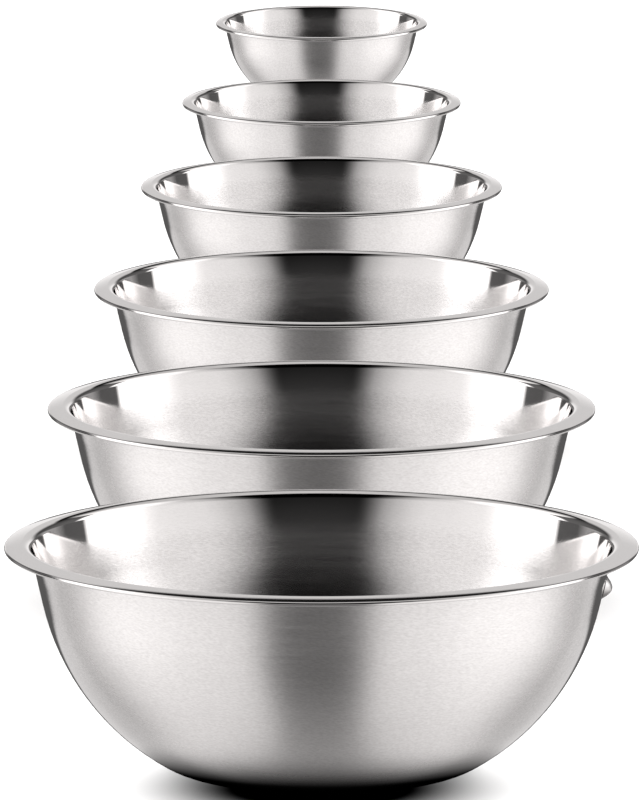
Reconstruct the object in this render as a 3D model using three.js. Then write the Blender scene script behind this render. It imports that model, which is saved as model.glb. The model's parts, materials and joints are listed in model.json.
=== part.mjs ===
// Set of six round nesting mixing bowls in stainless steel, standing in a row on a worktop, largest in front.
// Millimetres, +Z up. The origin is the centre of the largest bowl's base; the row runs away along +Y.

import * as THREE from 'three';

// ---- Driving dimensions -------------------------------------------------------------------------------

const SHEET = 0.7; // thickness of the pressed sheet
const WELD_GAP = 0.3; // air left between the wall and the welded lug

// One entry per bowl: rim diameter, clear worktop between its rim and the rim in front, facets round it.
const BOWLS = [
  { name: 'largest_bowl', diameter: 336, clearInFront: 0, facets: 60 },
  { name: 'second_bowl', diameter: 300, clearInFront: 175, facets: 56 },
  { name: 'third_bowl', diameter: 257, clearInFront: 197, facets: 48 },
  { name: 'fourth_bowl', diameter: 210, clearInFront: 215, facets: 44 },
  { name: 'fifth_bowl', diameter: 166, clearInFront: 210, facets: 40 },
  { name: 'smallest_bowl', diameter: 129, clearInFront: 231, facets: 36 },
];

// Section of the outer face at a rim diameter of 336 mm. Every bowl is this section at its own size.
const SECTION_DIAMETER = 336;
const BASE_RADIUS = 63.5; // flat that the bowl stands on
const HEEL_RADIUS = 43.7; // tight curve from the base into the side
const HEEL_ANGLE = 30.4;
const SIDE_RADIUS = 132.2; // wide curve of the side
const WALL_ANGLE = 77; // straight upper wall, degrees from level
const WALL_LENGTH = 29.5;
const NECK_RADIUS = 4; // outward curve under the flange
const FLANGE_DROOP = 10; // the flange falls outwards by this many degrees

// The rolled bead at the flange's edge keeps nearly the same size on every bowl.
const BEAD_HOLLOW_MIN = 0.2; // radius inside the roll on the smallest sizes
const BEAD_HOLLOW_GROWTH = 0.3; // what the largest bowl has more
const BEAD_ROLL = 200; // degrees that the sheet is rolled under

// Lug: a small domed piece, spot-welded to the right side of the largest bowl.
const LUG_DIAMETER = 12.6;
const LUG_HEIGHT = 4.2; // how far it stands off the wall
const LUG_LEVEL = 98.7; // height of its middle above the base
const LUG_RINGS = 6;
const LUG_FACETS = 24;

// ---- Bowls --------------------------------------------------------------------------------------------

const radians = THREE.MathUtils.degToRad;

// Walks along one face of a bent sheet and notes the point and the heading of each step.
class SheetWalk {
  constructor() {
    this.position = new THREE.Vector2(0, 0);
    this.heading = 0;
    this.steps = [];
    this.note();
  }

  note() {
    this.steps.push({ point: this.position.clone(), heading: this.heading });
  }

  straight(length) {
    this.position.x += length * Math.cos(this.heading);
    this.position.y += length * Math.sin(this.heading);
    this.note();
  }

  // A positive angle bends to the left, towards the inside of the bowl.
  bend(radius, degrees, count) {
    const turn = radians(degrees) / count;
    const side = Math.sign(degrees);
    for (let i = 0; i < count; i += 1) {
      const next = this.heading + turn;
      this.position.x += side * radius * (Math.sin(next) - Math.sin(this.heading));
      this.position.y += side * radius * (Math.cos(this.heading) - Math.cos(next));
      this.heading = next;
      this.note();
    }
  }

  // The outline of the sheet: along this face, then back along the face one thickness to the left.
  outline(thickness) {
    const face = this.steps.map((step) => step.point);
    const offset = this.steps.map((step) => new THREE.Vector2(
      step.point.x - thickness * Math.sin(step.heading),
      step.point.y + thickness * Math.cos(step.heading),
    ));
    return [...face, ...offset.reverse()];
  }
}

function bowlSection(diameter) {
  const scale = diameter / SECTION_DIAMETER;
  const beadHollow = BEAD_HOLLOW_MIN + BEAD_HOLLOW_GROWTH * scale;
  const walk = new SheetWalk();
  walk.straight(BASE_RADIUS * scale);
  walk.bend(HEEL_RADIUS * scale, HEEL_ANGLE, 3);
  walk.bend(SIDE_RADIUS * scale, WALL_ANGLE - HEEL_ANGLE, 5);
  walk.straight(WALL_LENGTH * scale);
  walk.bend(NECK_RADIUS * scale, -WALL_ANGLE - FLANGE_DROOP, 2);

  // The flange is as long as brings the outside of the bead to the rim diameter.
  const beadReach = SHEET + beadHollow * (1 - Math.sin(radians(FLANGE_DROOP)));
  const flangeReach = diameter / 2 - beadReach - walk.position.x;
  walk.straight(flangeReach / Math.cos(radians(FLANGE_DROOP)));
  walk.bend(beadHollow, FLANGE_DROOP - 90, 2);
  walk.bend(beadHollow, 90 - FLANGE_DROOP - BEAD_ROLL, 1);
  return walk.outline(SHEET);
}

function steel(name) {
  return new THREE.MeshStandardMaterial({ name, color: 0xc9c8c6, roughness: 0.28, metalness: 1 });
}

function makeBowl({ name, diameter, facets }) {
  const geometry = new THREE.LatheGeometry(bowlSection(diameter), facets);
  geometry.rotateX(Math.PI / 2);
  const bowl = new THREE.Mesh(geometry, steel('brushed_steel'));
  bowl.name = name;
  return bowl;
}

// ---- Lug ----------------------------------------------------------------------------------------------

// Radius of the largest bowl's outer face at a level on its straight wall.
function wallRadius(level) {
  const heelTop = HEEL_RADIUS * (1 - Math.cos(radians(HEEL_ANGLE)));
  const sideTop = heelTop + SIDE_RADIUS * (Math.cos(radians(HEEL_ANGLE)) - Math.cos(radians(WALL_ANGLE)));
  const heelReach = HEEL_RADIUS * Math.sin(radians(HEEL_ANGLE));
  const sideReach = SIDE_RADIUS * (Math.sin(radians(WALL_ANGLE)) - Math.sin(radians(HEEL_ANGLE)));
  return BASE_RADIUS + heelReach + sideReach + (level - sideTop) / Math.tan(radians(WALL_ANGLE));
}

function makeSideLug() {
  const dome = [new THREE.Vector2(0, 0), new THREE.Vector2(LUG_DIAMETER / 2, 0)];
  for (let i = 1; i < LUG_RINGS; i += 1) {
    const inward = i / LUG_RINGS;
    const height = LUG_HEIGHT * Math.sin(radians(90) * inward);
    dome.push(new THREE.Vector2(LUG_DIAMETER / 2 * (1 - inward), height));
  }
  dome.push(new THREE.Vector2(0, LUG_HEIGHT));

  const geometry = new THREE.LatheGeometry(dome, LUG_FACETS);
  geometry.translate(0, WELD_GAP, 0);
  geometry.rotateZ(-Math.PI / 2);
  geometry.rotateY(radians(90 - WALL_ANGLE));

  const lug = new THREE.Mesh(geometry, steel('lug_steel'));
  lug.name = 'side_lug';
  lug.position.set(wallRadius(LUG_LEVEL), 0, LUG_LEVEL);
  return lug;
}

// ---- The row ------------------------------------------------------------------------------------------

const bowlSet = new THREE.Group();
let rimBehind = -BOWLS[0].diameter / 2;

for (const dimensions of BOWLS) {
  const bowl = makeBowl(dimensions);
  bowl.position.y = rimBehind + dimensions.clearInFront + dimensions.diameter / 2;
  rimBehind = bowl.position.y + dimensions.diameter / 2;
  bowlSet.add(bowl);
}
bowlSet.add(makeSideLug());

export default bowlSet;
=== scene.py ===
"""Looks for the set of six nesting mixing bowls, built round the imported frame. Metres, +Z up."""

import json
import math

import bpy
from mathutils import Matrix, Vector


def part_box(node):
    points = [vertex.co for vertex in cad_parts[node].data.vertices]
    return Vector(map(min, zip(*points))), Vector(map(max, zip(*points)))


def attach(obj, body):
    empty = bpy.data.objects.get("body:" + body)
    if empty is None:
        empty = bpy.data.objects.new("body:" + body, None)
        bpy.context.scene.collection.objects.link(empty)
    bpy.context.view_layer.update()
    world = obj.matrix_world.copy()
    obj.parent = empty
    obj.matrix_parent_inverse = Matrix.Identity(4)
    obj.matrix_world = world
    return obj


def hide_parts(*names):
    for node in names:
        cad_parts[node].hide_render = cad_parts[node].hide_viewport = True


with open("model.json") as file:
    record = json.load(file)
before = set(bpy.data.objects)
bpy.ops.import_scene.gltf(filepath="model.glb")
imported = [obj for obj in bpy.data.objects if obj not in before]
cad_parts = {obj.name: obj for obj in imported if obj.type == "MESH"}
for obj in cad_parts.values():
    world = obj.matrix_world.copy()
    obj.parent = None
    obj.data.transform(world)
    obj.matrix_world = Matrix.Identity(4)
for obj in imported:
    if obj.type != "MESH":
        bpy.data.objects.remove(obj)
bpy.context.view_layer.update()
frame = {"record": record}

# ---- Shape of the bowls, at a rim diameter of 336 mm, as in the CAD model ------------------------------

MM = 0.001
SHEET = 0.7 * MM
SECTION_DIAMETER = 336 * MM
BASE_RADIUS = 63.5 * MM
HEEL_RADIUS = 43.7 * MM
HEEL_ANGLE = 30.4
SIDE_RADIUS = 132.2 * MM
WALL_ANGLE = 77.0
WALL_LENGTH = 29.5 * MM
NECK_RADIUS = 4.0 * MM
FLANGE_DROOP = 10.0
BEAD_HOLLOW_MIN = 0.2 * MM
BEAD_HOLLOW_GROWTH = 0.3 * MM
BEAD_ROLL = 200.0

LUG_DIAMETER = 12.6 * MM
LUG_HEIGHT = 4.2 * MM

# Fineness of the meshes.
STEPS_ROUND = 144
STRAIGHT_STEPS = 2
HEEL_STEPS = 8
SIDE_STEPS = 16
NECK_STEPS = 8
FLANGE_STEPS = 2
BEAD_STEPS = 12
LUG_RINGS = 16
SHARP_ANGLE = 50.0  # an edge bent by more than this is shaded sharp

# ---- Looks ---------------------------------------------------------------------------------------------

STEEL_LIGHT = (0.87, 0.855, 0.85, 1.0)
STEEL_DARK = (0.72, 0.705, 0.70, 1.0)
# Painted shade: the dark colour laid on the lug's lower side.
STEEL_IN_PAINTED_SHADE = (0.10, 0.09, 0.085, 1.0)

# Brushed rings: grooves per metre along the section, changes of a groove in one radian, and noise detail.
GRAIN = (1500.0, 70.0, 2.0)
GROOVES = (420.0, 5.0, 3.0)
HEIGHT_SHARE = 0.37  # shares of height and radius that give every ring its own start and end
RADIUS_SHARE = 0.43
CLOUDS_PER_METRE = 14.0
CLOUD_DETAIL = 4.0
BRUSHING_DEPTH = 0.1 * MM
BRUSHING_LEFT_BY_POLISH = 0.1
POLISH_EDGE = 0.05  # half the width of the edge of the polished part, in parts of the height
SATIN_UNEVENNESS = 0.08
POLISH_UNEVENNESS = 0.02
GLANCING = (0.5, 0.85)  # satin looks polished where it is seen along its surface
GRAIN_TONE = 2.4
GROOVE_TONE = 0.35
TONE_LEFT_BY_POLISH = 0.3
# Where the painted shade on the lug's lower side begins and ends, and how ragged its edge is.
PAINTED_SHADE_EDGE = (-3.0 * MM, 5.0 * MM)  # along the piece's own X axis
PAINTED_SHADE_RAGGEDNESS = 2.0 * MM
ANISOTROPY = 0.6
ANISOTROPY_TURN = 0.25

# Camera: a long lens, ten degrees above the worktop, on the largest bowl's rim.
CAMERA_DISTANCE = 14.0
CAMERA_ELEVATION = 10.0
FRAME_ASPECT = 800 / 643
RIM_TO_FRAME_WIDTH = 0.9875
RIM_BELOW_MIDDLE = 0.178  # of the frame's height
CAMERA_CLIP = (1.0, 200.0)

FLOOR_REACH = 60.0
FLOOR_LEVEL = -0.2 * MM
FLOOR_COLOUR = (0.9, 0.9, 0.9, 1.0)
SUN_STRENGTH = 3.0
SUN_SPREAD = 60.0  # degrees across, which softens its shadows

# Shadow under a bowl, in parts of the bowl's radius: full up to, gone at, and how far in front it lies.
SHADE_IN_STEEL = (0.46, 0.66, 0.03)
SHADE_TO_CAMERA = (0.28, 0.68, 0.3)
SHADE_LEVEL = -0.1 * MM  # between the floor and the bowls
SHADE_STEPS = 64

# Studio seen in reflections. All angles are in degrees. Azimuth goes from the camera's side at 0 to behind
# the bowls at 180, alike on both sides. "Aside" is the angle from the vertical plane through the row and
# the camera. Profiles are pairs of an angle and a brightness.
STUDIO_STRENGTH = 1.6
STUDIO_TINT = (1.0, 0.98, 0.975)
GAP_LEAN = 0.16
GAP_EDGE = (13, 24)  # aside, from the gap to the soft boxes
HORIZON = (-6, 4)  # elevation, from the lower soft boxes to the upper ones
BOXES_HIGH = [
    (13, 0.05), (21, 0.25), (27, 0.46), (34, 0.64), (40, 0.73), (52, 0.78), (65, 0.85), (77, 0.95), (90, 1)]
BOXES_LOW = [(13, 0.14), (19, 0.38), (24, 0.53), (29, 0.59), (44, 0.62), (52, 0.70), (58, 0.75), (90, 0.8)]
HIGH_BESIDE = 0.8  # the upper soft boxes beside the bowls, and behind them
HIGH_BEHIND = 1.4
HIGH_TURN = (68, 92)  # azimuth, from beside to behind
HIGH_OVERHEAD = 1.3  # they are brighter towards the top
HIGH_RISE = (22, 48)  # elevation, over which they brighten
LOW_TOWARDS_BACK = [
    (0, 1.0), (98, 1.0), (105, 0.95), (114, 0.82), (125, 0.66), (138, 0.54), (150, 0.5), (180, 0.5)]
LOW_STEEP = (-60, -38)  # elevation, below which they are alike all round
LOW_NEAR_LEVEL = 1.18  # the lower soft boxes are brighter near the horizon
LOW_RISE = (-34, -20)  # elevation, over which they brighten
UNDERFOOT = [(-90, 0.72), (-80, 0.78), (-60, 0.95), (-45, 1.0), (0, 1.0)]
# How dark the gap at each side is, by azimuth. A window is a low end, a high end and a soft width, all of
# them elevations.
SIDE_GAP = [(108, 0.0), (111, 0.94), (124, 0.94), (132, 0.78), (145, 0.72), (150, 0.84), (180, 0.86)]
SIDE_GAP_WINDOW = (-16.5, 10.0, 2.0)
ABOVE_SIDE_GAP = 0.92
ABOVE_SIDE_GAP_START = (112, 118)  # azimuth
ABOVE_SIDE_GAP_WINDOW = (8.0, 32.0, 3.0)
# The worktop behind the bowls is as bright as a soft box this far aside.
TABLE_ASIDE = 60.0
TABLE_START = (132, 148)  # azimuth
TABLE_WINDOW = (-52.0, -8.0, 14.0)
# The gap narrows underfoot and widens overhead (position is 100 times the direction's height).
GAP_NARROWING = [(-98, 0.8), (-86, 0.56), (-60, 0.42), (25, 0.4), (50, 0.3), (75, 0.28)]
GAP_NARROWING_PLAIN = 0.42  # at this value "aside" is the plain angle
# The gap, from straight down at -90 past the camera's side at 0, over the top, to behind the bowls at 180.
GAP = [
    (-180, 0.55), (-178, 0.06), (-165, 0.06), (-163, 0.4), (-130, 0.32), (-110, 0.26), (-95, 0.22),
    (-84, 0.19), (-60, 0.12), (-48, 0.085), (-36, 0.03), (-24, 0.14), (-12, 0.35), (-2, 0.08),
    (14, 0.03), (22, 0.008), (34, 0.0), (74, 0.0), (84, 0.45), (125, 0.4), (138, 0.02), (149, 0.0),
    (152, 0.45), (170, 0.43), (172, 0.48), (176, 0.6), (180, 0.6)]

BOWLS = ["largest_bowl", "second_bowl", "third_bowl", "fourth_bowl", "fifth_bowl", "smallest_bowl"]


# ---- Node helpers --------------------------------------------------------------------------------------

class Nodes:
    """Short ways to add and join shader nodes in one tree."""

    def __init__(self, tree):
        self.tree = tree

    def add(self, kind, **settings):
        node = self.tree.nodes.new("ShaderNode" + kind)
        for name, value in settings.items():
            setattr(node, name, value)
        return node

    def feed(self, socket, value):
        if isinstance(value, bpy.types.NodeSocket):
            self.tree.links.new(value, socket)
        else:
            socket.default_value = value

    def math(self, operation, *values):
        node = self.add("Math", operation=operation)
        for socket, value in zip(node.inputs, values):
            self.feed(socket, value)
        return node.outputs[0]

    def remap(self, value, low, high, to_low=0.0, to_high=1.0, smooth=True):
        node = self.add("MapRange", interpolation_type="SMOOTHSTEP" if smooth else "LINEAR")
        for socket, setting in zip(node.inputs, (value, low, high, to_low, to_high)):
            self.feed(socket, setting)
        return node.outputs[0]

    def ramp(self, value, stops):
        """A grey ramp through (position, brightness) stops."""
        node = self.add("ValToRGB")
        elements = node.color_ramp.elements
        while len(elements) > 1:
            elements.remove(elements[-1])
        for index, (position, level) in enumerate(stops):
            element = elements[0] if index == 0 else elements.new(position)
            element.position = position
            element.color = (level, level, level, 1.0)
        self.feed(node.inputs[0], value)
        return node.outputs[0]

    def degrees(self, value):
        return self.math("MULTIPLY", value, 180 / math.pi)

    def split(self, vector):
        node = self.add("SeparateXYZ")
        self.feed(node.inputs[0], vector)
        return node.outputs

    def profile(self, degrees, stops):
        """Brightness along an angle, through (degrees, brightness) stops in rising order."""
        low, high = stops[0][0], stops[-1][0]
        along = self.remap(degrees, low, high, smooth=False)
        return self.ramp(along, [((at - low) / (high - low), level) for at, level in stops])

    def window(self, value, low, high, soft):
        """1 between low and high, falling to 0 over the soft width at each end."""
        rise = self.remap(value, low - soft / 2, low + soft / 2)
        fall = self.remap(value, high - soft / 2, high + soft / 2, 1.0, 0.0)
        return self.math("MULTIPLY", rise, fall)

    def radius(self, x, y):
        squares = self.math("ADD", self.math("MULTIPLY", x, x), self.math("MULTIPLY", y, y))
        return self.math("SQRT", squares)

    # A Mix node has its numbers at sockets 2 and 3, and its colours at 6 and 7, whichever it mixes.
    def mix(self, amount, first, second):
        node = self.add("Mix", data_type="FLOAT")
        for index, value in zip((0, 2, 3), (amount, first, second)):
            self.feed(node.inputs[index], value)
        return node.outputs[0]

    def mix_colours(self, amount, first, second):
        node = self.add("Mix", data_type="RGBA")
        for index, value in zip((0, 6, 7), (amount, first, second)):
            self.feed(node.inputs[index], value)
        return node.outputs[2]


# ---- Object helpers ------------------------------------------------------------------------------------

def add_object(name, data):
    thing = bpy.data.objects.new(name, data)
    bpy.context.collection.objects.link(thing)
    return thing


def underside_middle(low, high):
    return Vector(((low.x + high.x) / 2, (low.y + high.y) / 2, low.z))


def stand_for(piece, node):
    """Lets the piece take the CAD node's place, on the node's own body."""
    body = next(name for name, nodes in frame["record"]["behaviour"]["bodies"].items() if node in nodes)
    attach(piece, body)
    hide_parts(node)


# ---- Steel ---------------------------------------------------------------------------------------------

def ring_noise(n, place, fineness, cells_round, detail):
    """Noise that changes fast along the bowl's section and slowly round its axis, like brushed grooves.

    fineness is in grooves per metre, and cells_round is how often a groove changes in one radian."""
    x, y, z = n.split(place)
    radius = n.radius(x, y)
    stretch = cells_round / fineness
    side = n.math("MULTIPLY", n.math("DIVIDE", x, radius), stretch)
    front = n.math("MULTIPLY", n.math("DIVIDE", y, radius), stretch)
    # The section's own coordinates are mixed in, or all grooves would start and end at the same angle.
    spot = n.add("CombineXYZ")
    n.feed(spot.inputs[0], radius)
    n.feed(spot.inputs[1], z)
    n.feed(spot.inputs[2], n.math("ADD", side, n.math("MULTIPLY", z, HEIGHT_SHARE)))
    noise = n.add("TexNoise", noise_dimensions="4D")
    n.feed(noise.inputs["Vector"], spot.outputs[0])
    n.feed(noise.inputs["W"], n.math("ADD", front, n.math("MULTIPLY", radius, RADIUS_SHARE)))
    noise.inputs["Scale"].default_value = fineness
    noise.inputs["Detail"].default_value = detail
    return n.math("SUBTRACT", noise.outputs[0], 0.5)


def steel_marks(n, place):
    """Fine grain and wider grooves in rings, and cloudy patches, each round zero."""
    grain = ring_noise(n, place, *GRAIN)
    grooves = ring_noise(n, place, *GROOVES)
    clouds = n.add("TexNoise")
    n.feed(clouds.inputs["Vector"], place)
    clouds.inputs["Scale"].default_value = CLOUDS_PER_METRE
    clouds.inputs["Detail"].default_value = CLOUD_DETAIL
    return grain, grooves, n.math("SUBTRACT", clouds.outputs[0], 0.5)


def brushed_bump(n, polished, brushing, height):
    bump = n.add("Bump")
    n.feed(bump.inputs["Strength"], n.mix(polished, brushing, brushing * BRUSHING_LEFT_BY_POLISH))
    bump.inputs["Distance"].default_value = BRUSHING_DEPTH
    n.feed(bump.inputs["Height"], height)
    return bump.outputs[0]


def satin_roughness(n, polished, satin, polish, grooves, patches):
    unevenness = n.math("MULTIPLY", n.math("ADD", grooves, patches), SATIN_UNEVENNESS)
    rough_satin = n.math("ADD", satin, unevenness)
    rough_polish = n.math("ADD", polish, n.math("MULTIPLY", patches, POLISH_UNEVENNESS))
    grazing = n.add("LayerWeight")
    grazing.inputs["Blend"].default_value = 0.5
    glancing = n.remap(grazing.outputs["Facing"], *GLANCING)
    smooth = n.math("MAXIMUM", polished, glancing)
    return n.mix(smooth, rough_satin, rough_polish)


def brushed_tone(n, polished, grain, grooves):
    marks = n.math("ADD", n.math("MULTIPLY", grain, GRAIN_TONE), n.math("MULTIPLY", grooves, GROOVE_TONE))
    contrast = n.mix(polished, 1.0, TONE_LEFT_BY_POLISH)
    lightness = n.math("ADD", 0.5, n.math("MULTIPLY", marks, contrast))
    return n.mix_colours(lightness, STEEL_DARK, STEEL_LIGHT)


def tone_with_painted_shade(n, tone, place, patches, painted_shade_depth):
    """The tone, darkened by painted shade with a ragged edge towards the piece's own +X side, which on the
    lug is its lower side.
    """
    ragged = n.math("ADD", n.split(place)[0], n.math("MULTIPLY", patches, PAINTED_SHADE_RAGGEDNESS))
    painted_shade_amount = n.math("MULTIPLY", n.remap(ragged, *PAINTED_SHADE_EDGE), painted_shade_depth)
    return n.mix_colours(painted_shade_amount, tone, STEEL_IN_PAINTED_SHADE)


def brushed_steel(name, satin, polish, polish_from, brushing, painted_shade_depth=0.0):
    """Steel brushed in rings round the piece's axis: satin, and polished above polish_from of its height.

    satin and polish are roughnesses, brushing is how deep the brushing looks, and the last argument is how
    dark the painted shade on the piece's +X side is."""
    material = bpy.data.materials.new(name)
    material.use_nodes = True
    n = Nodes(material.node_tree)
    shader = material.node_tree.nodes["Principled BSDF"]
    coordinates = n.add("TexCoord")
    place = coordinates.outputs["Object"]
    height = n.split(coordinates.outputs["Generated"])[2]
    polished = n.remap(height, polish_from - POLISH_EDGE, polish_from + POLISH_EDGE)
    grain, grooves, patches = steel_marks(n, place)

    tone = brushed_tone(n, polished, grain, grooves)
    # Painted shade: the piece's +X side darkened, which on the lug is its lower side.
    if painted_shade_depth:
        tone = tone_with_painted_shade(n, tone, place, patches, painted_shade_depth)
    n.feed(shader.inputs["Base Color"], tone)
    n.feed(shader.inputs["Roughness"], satin_roughness(n, polished, satin, polish, grooves, patches))
    n.feed(shader.inputs["Normal"], brushed_bump(n, polished, brushing, n.math("ADD", grain, grooves)))
    tangent = n.add("Tangent", direction_type="RADIAL", axis="Z")
    n.feed(shader.inputs["Tangent"], tangent.outputs[0])
    shader.inputs["Anisotropic"].default_value = ANISOTROPY
    shader.inputs["Anisotropic Rotation"].default_value = ANISOTROPY_TURN
    shader.inputs["Metallic"].default_value = 1.0
    return material


# ---- Bowls ---------------------------------------------------------------------------------------------

class SheetWalk:
    """Walks along the outer face of a bent sheet and notes each point and the heading there."""

    def __init__(self):
        self.r = 0.0
        self.z = 0.0
        self.heading = 0.0
        self.steps = [(0.0, 0.0, 0.0)]

    def note(self):
        self.steps.append((self.r, self.z, self.heading))

    def straight(self, length, count):
        for _ in range(count):
            self.r += length / count * math.cos(self.heading)
            self.z += length / count * math.sin(self.heading)
            self.note()

    def bend(self, radius, degrees, count):
        turn = math.radians(degrees) / count
        side = math.copysign(1.0, degrees)
        for _ in range(count):
            ahead = self.heading + turn
            self.r += side * radius * (math.sin(ahead) - math.sin(self.heading))
            self.z += side * radius * (math.cos(self.heading) - math.cos(ahead))
            self.heading = ahead
            self.note()


def bowl_section(diameter):
    """The outer face's points and the inner face's points, from the axis to the end of the rolled bead."""
    scale = diameter / SECTION_DIAMETER
    hollow = BEAD_HOLLOW_MIN + BEAD_HOLLOW_GROWTH * scale
    droop = math.radians(FLANGE_DROOP)
    walk = SheetWalk()
    walk.straight(BASE_RADIUS * scale, STRAIGHT_STEPS)
    walk.bend(HEEL_RADIUS * scale, HEEL_ANGLE, HEEL_STEPS)
    walk.bend(SIDE_RADIUS * scale, WALL_ANGLE - HEEL_ANGLE, SIDE_STEPS)
    walk.straight(WALL_LENGTH * scale, STRAIGHT_STEPS)
    walk.bend(NECK_RADIUS * scale, -WALL_ANGLE - FLANGE_DROOP, NECK_STEPS)
    reach = diameter / 2 - SHEET - hollow * (1 - math.sin(droop)) - walk.r
    walk.straight(reach / math.cos(droop), FLANGE_STEPS)
    walk.bend(hollow, -BEAD_ROLL, BEAD_STEPS)
    outer = [(r, z) for r, z, _ in walk.steps]
    inner = [(r - SHEET * math.sin(h), z + SHEET * math.cos(h)) for r, z, h in walk.steps]
    return outer, inner


def lathe(name, outline):
    """A closed mesh: the outline, which starts and ends on the axis, turned round it."""
    ring = outline[1:-1]
    count = len(ring)
    points = [(0.0, 0.0, outline[0][1]), (0.0, 0.0, outline[-1][1])]
    for step in range(STEPS_ROUND):
        angle = 2 * math.pi * step / STEPS_ROUND
        points += [(r * math.cos(angle), r * math.sin(angle), z) for r, z in ring]
    faces = []
    for step in range(STEPS_ROUND):
        here = 2 + step * count
        there = 2 + (step + 1) % STEPS_ROUND * count
        faces.append((0, there, here))
        faces += [(here + i, there + i, there + i + 1, here + i + 1) for i in range(count - 1)]
        faces.append((1, here + count - 1, there + count - 1))
    mesh = bpy.data.meshes.new(name)
    mesh.from_pydata(points, [], faces)
    mesh.polygons.foreach_set("use_smooth", [True] * len(faces))
    mesh.set_sharp_from_angle(angle=math.radians(SHARP_ANGLE))
    return mesh


def make_bowl(node, outside, inside):
    """One bowl as large as its CAD node, in the outside steel, and in the inside steel from the flange on."""
    low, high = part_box(node)
    outer, inner = bowl_section(high.x - low.x)
    # These finer arcs reach a little higher than the CAD's, so the section is squeezed to the CAD's height.
    squeeze = (high.z - low.z) / max(z for _, z in inner)
    mesh = lathe(node + "_steel", [(r, z * squeeze) for r, z in outer + inner[::-1]])
    mesh.materials.append(outside)
    mesh.materials.append(inside)
    # In each step round, faces run along the outer face, round the sheet's edge, then back along the inner.
    per_step = len(outer) + len(inner) - 1
    inside_from = len(outer) - FLANGE_STEPS - BEAD_STEPS
    for polygon in mesh.polygons:
        polygon.material_index = int(polygon.index % per_step >= inside_from)
    bowl = add_object(node + "_steel", mesh)
    bowl.location = underside_middle(low, high)
    stand_for(bowl, node)
    return bowl


def make_lug(steel):
    """The domed lug at the largest bowl's side: its foot is a plane parallel to the wall."""
    low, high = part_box("side_lug")
    radius = LUG_DIAMETER / 2
    dome = [(0.0, 0.0)]
    for ring in range(LUG_RINGS + 1):
        inward = ring / LUG_RINGS
        dome.append((radius * (1 - inward), LUG_HEIGHT * math.sin(math.radians(90) * inward)))
    mesh = lathe("side_lug_steel", dome)
    mesh.materials.append(steel)
    lug = add_object("side_lug_steel", mesh)
    lean = math.radians(90 - WALL_ANGLE)
    # The round foot is the part of the lug that is nearest the axis, and the highest.
    lug.location = (low.x + radius * math.sin(lean), (low.y + high.y) / 2, high.z - radius * math.cos(lean))
    lug.rotation_euler = (0.0, math.pi / 2 + lean, 0.0)
    stand_for(lug, "side_lug")


# ---- Studio --------------------------------------------------------------------------------------------

def studio_angles(n):
    """The azimuth, elevation and angle aside of a reflected direction, and its angle along the gap."""
    x, y, z = n.split(n.add("TexCoord").outputs["Generated"])
    towards_camera = n.math("MULTIPLY", y, -1.0)
    azimuth = n.degrees(n.math("ARCTAN2", n.math("ABSOLUTE", x), towards_camera))
    elevation = n.degrees(n.math("ARCSINE", z))
    along_gap = n.degrees(n.math("ARCTAN2", z, towards_camera))

    # The gap leans to one side above the horizon and to the other below it.
    sideways = n.math("MULTIPLY", z, n.math("SUBTRACT", 1.0, n.math("ABSOLUTE", z)))
    leaning = n.math("SUBTRACT", x, n.math("MULTIPLY", sideways, GAP_LEAN))
    narrowing = n.profile(n.math("MULTIPLY", z, 100.0), GAP_NARROWING)
    aside = n.degrees(n.math("MULTIPLY", n.math("ARCSINE", n.math("ABSOLUTE", leaning)), narrowing))
    aside = n.math("DIVIDE", aside, GAP_NARROWING_PLAIN)
    table = n.math("MULTIPLY", n.remap(azimuth, *TABLE_START), n.window(elevation, *TABLE_WINDOW))
    return azimuth, elevation, n.mix(table, aside, TABLE_ASIDE), along_gap


def lower_boxes(n, azimuth, elevation, aside):
    """Brightness of the soft boxes below the horizon."""
    steeply_down = n.remap(elevation, *LOW_STEEP, 1.0, 0.0)
    dimmer = n.mix(steeply_down, n.profile(azimuth, LOW_TOWARDS_BACK), 1.0)
    low = n.math("MULTIPLY", n.profile(aside, BOXES_LOW), dimmer)
    low = n.math("MULTIPLY", low, n.profile(elevation, UNDERFOOT))
    return n.math("MULTIPLY", low, n.remap(elevation, *LOW_RISE, 1.0, LOW_NEAR_LEVEL))


def upper_boxes(n, azimuth, elevation, aside):
    """Brightness of the soft boxes above the horizon."""
    strength = n.remap(azimuth, *HIGH_TURN, HIGH_BESIDE, HIGH_BEHIND)
    high = n.math("MULTIPLY", n.profile(aside, BOXES_HIGH), strength)
    return n.math("MULTIPLY", high, n.remap(elevation, *HIGH_RISE, 1.0, HIGH_OVERHEAD))


def side_gaps(n, azimuth, elevation):
    """How dark the gap at each side behind the bowls is, near the horizon and above."""
    level_part = n.math("MULTIPLY", n.profile(azimuth, SIDE_GAP), n.window(elevation, *SIDE_GAP_WINDOW))
    from_side = n.remap(azimuth, *ABOVE_SIDE_GAP_START, 0.0, ABOVE_SIDE_GAP)
    upper_part = n.math("MULTIPLY", from_side, n.window(elevation, *ABOVE_SIDE_GAP_WINDOW))
    return n.math("MAXIMUM", level_part, upper_part)


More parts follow.
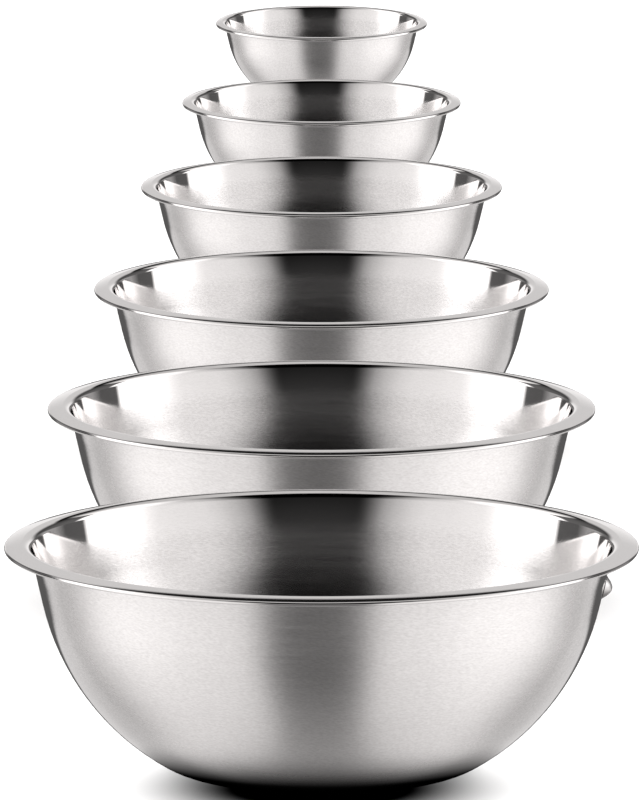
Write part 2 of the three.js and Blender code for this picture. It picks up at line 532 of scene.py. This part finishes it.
def make_world():
    """A long dark gap over and in front of the bowls between two big soft boxes, and a dark gap at each
    side behind them. The camera sees plain white in its place."""
    world = bpy.data.worlds.new("studio")
    bpy.context.scene.world = world
    world.use_nodes = True
    world.node_tree.nodes.clear()
    n = Nodes(world.node_tree)
    azimuth, elevation, aside, along_gap = studio_angles(n)
    low = lower_boxes(n, azimuth, elevation, aside)
    high = upper_boxes(n, azimuth, elevation, aside)
    boxes = n.mix(n.remap(elevation, *HORIZON), low, high)
    boxes = n.mix(side_gaps(n, azimuth, elevation), boxes, 0.0)
    level = n.mix(n.remap(aside, *GAP_EDGE), n.profile(along_gap, GAP), boxes)

    tint = n.add("CombineColor")
    for socket, factor in zip(tint.inputs, STUDIO_TINT):
        n.feed(socket, n.math("MULTIPLY", level, factor))
    studio = n.add("Background")
    n.feed(studio.inputs[0], tint.outputs[0])
    studio.inputs[1].default_value = STUDIO_STRENGTH
    white = n.add("Background")
    white.inputs[0].default_value = (1.0, 1.0, 1.0, 1.0)
    white.inputs[1].default_value = 1.0
    seen = n.add("MixShader")
    n.feed(seen.inputs[0], n.add("LightPath").outputs["Is Camera Ray"])
    n.feed(seen.inputs[1], studio.outputs[0])
    n.feed(seen.inputs[2], white.outputs[0])
    n.feed(n.add("OutputWorld").inputs[0], seen.outputs[0])


def floor_material():
    material = bpy.data.materials.new("floor")
    material.use_nodes = True
    shader = material.node_tree.nodes["Principled BSDF"]
    shader.inputs["Base Color"].default_value = FLOOR_COLOUR
    shader.inputs["Roughness"].default_value = 1.0
    shader.inputs["Specular IOR Level"].default_value = 0.0
    return material


def make_floor():
    """A plain pale floor, hidden from reflections, which see the studio in its place."""
    mesh = bpy.data.meshes.new("floor")
    corners = [(-1, -1), (1, -1), (1, 1), (-1, 1)]
    points = [(FLOOR_REACH * x, FLOOR_REACH * y, FLOOR_LEVEL) for x, y in corners]
    mesh.from_pydata(points, [], [(0, 1, 2, 3)])
    mesh.materials.append(floor_material())
    floor = add_object("floor", mesh)
    floor.visible_glossy = False


def shade_material(core, reach):
    """Black up to the core radius, then clearer, and gone at the reach."""
    material = bpy.data.materials.new("shade")
    material.use_nodes = True
    material.node_tree.nodes.clear()
    n = Nodes(material.node_tree)
    x, y, _ = n.split(n.add("TexCoord").outputs["Object"])
    black = n.add("Emission")
    black.inputs["Strength"].default_value = 0.0
    blend = n.add("MixShader")
    n.feed(blend.inputs[0], n.remap(n.radius(x, y), core, reach))
    n.feed(blend.inputs[1], black.outputs[0])
    n.feed(blend.inputs[2], n.add("BsdfTransparent").outputs[0])
    n.feed(n.add("OutputMaterial").inputs[0], blend.outputs[0])
    return material


def make_shade(node, parts):
    """A round black shadow just above the floor, under one bowl. It casts no shadow of its own."""
    low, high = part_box(node)
    core, reach, in_front = [(high.x - low.x) / 2 * part for part in parts]
    angles = [2 * math.pi * step / SHADE_STEPS for step in range(SHADE_STEPS)]
    edge = [(reach * math.cos(angle), reach * math.sin(angle), 0.0) for angle in angles]
    mesh = bpy.data.meshes.new("shade")
    mesh.from_pydata(edge, [], [tuple(range(SHADE_STEPS))])
    mesh.materials.append(shade_material(core, reach))
    shade = add_object("shade", mesh)
    shade.location = underside_middle(low, high) + Vector((0.0, -in_front, SHADE_LEVEL))
    shade.visible_diffuse = False
    shade.visible_shadow = False
    return shade


def make_sun(blockers):
    """Lights the floor. Only the blockers shadow it: the largest bowl, which never moves, has its shade."""
    light = bpy.data.lights.new("overhead", "SUN")
    light.energy = SUN_STRENGTH
    light.angle = math.radians(SUN_SPREAD)
    sun = add_object("overhead", light)
    sun.visible_glossy = False
    sun.light_linking.blocker_collection = bpy.data.collections.new("blockers")
    for blocker in blockers:
        sun.light_linking.blocker_collection.objects.link(blocker)


def make_camera():
    low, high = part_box("largest_bowl")
    rim = underside_middle(low, high)
    rim.z = high.z
    frame_width = (high.x - low.x) / RIM_TO_FRAME_WIDTH
    frame_height = frame_width * FRAME_ASPECT
    data = bpy.data.cameras.new("camera")
    data.lens = data.sensor_width * CAMERA_DISTANCE / frame_height
    data.clip_start, data.clip_end = CAMERA_CLIP
    elevation = math.radians(CAMERA_ELEVATION)
    ahead = Vector((0.0, math.cos(elevation), -math.sin(elevation)))
    up = Vector((0.0, math.sin(elevation), math.cos(elevation)))
    camera = add_object("camera", data)
    camera.location = rim + up * (frame_height * RIM_BELOW_MIDDLE) - ahead * CAMERA_DISTANCE
    camera.rotation_euler = (math.pi / 2 - elevation, 0.0, 0.0)
    bpy.context.scene.camera = camera


# ---- The scene -----------------------------------------------------------------------------------------

make_camera()
outside_steel = brushed_steel("outside_steel", satin=0.30, polish=0.06, polish_from=0.99, brushing=0.12)
inside_steel = brushed_steel("inside_steel", satin=0.21, polish=0.05, polish_from=0.86, brushing=0.08)
# The lug's steel has painted shade on its lower side.
lug_steel = brushed_steel("lug_steel", satin=0.32, polish=0.2, polish_from=0.9, brushing=0.05, painted_shade_depth=0.9)
bowls = [make_bowl(bowl_node, outside_steel, inside_steel) for bowl_node in BOWLS]
make_lug(lug_steel)
make_world()
make_floor()
make_sun(bowls[1:])
make_shade("largest_bowl", SHADE_IN_STEEL).visible_camera = False
make_shade("largest_bowl", SHADE_TO_CAMERA).visible_glossy = False
bpy.context.scene.view_settings.view_transform = "Standard"
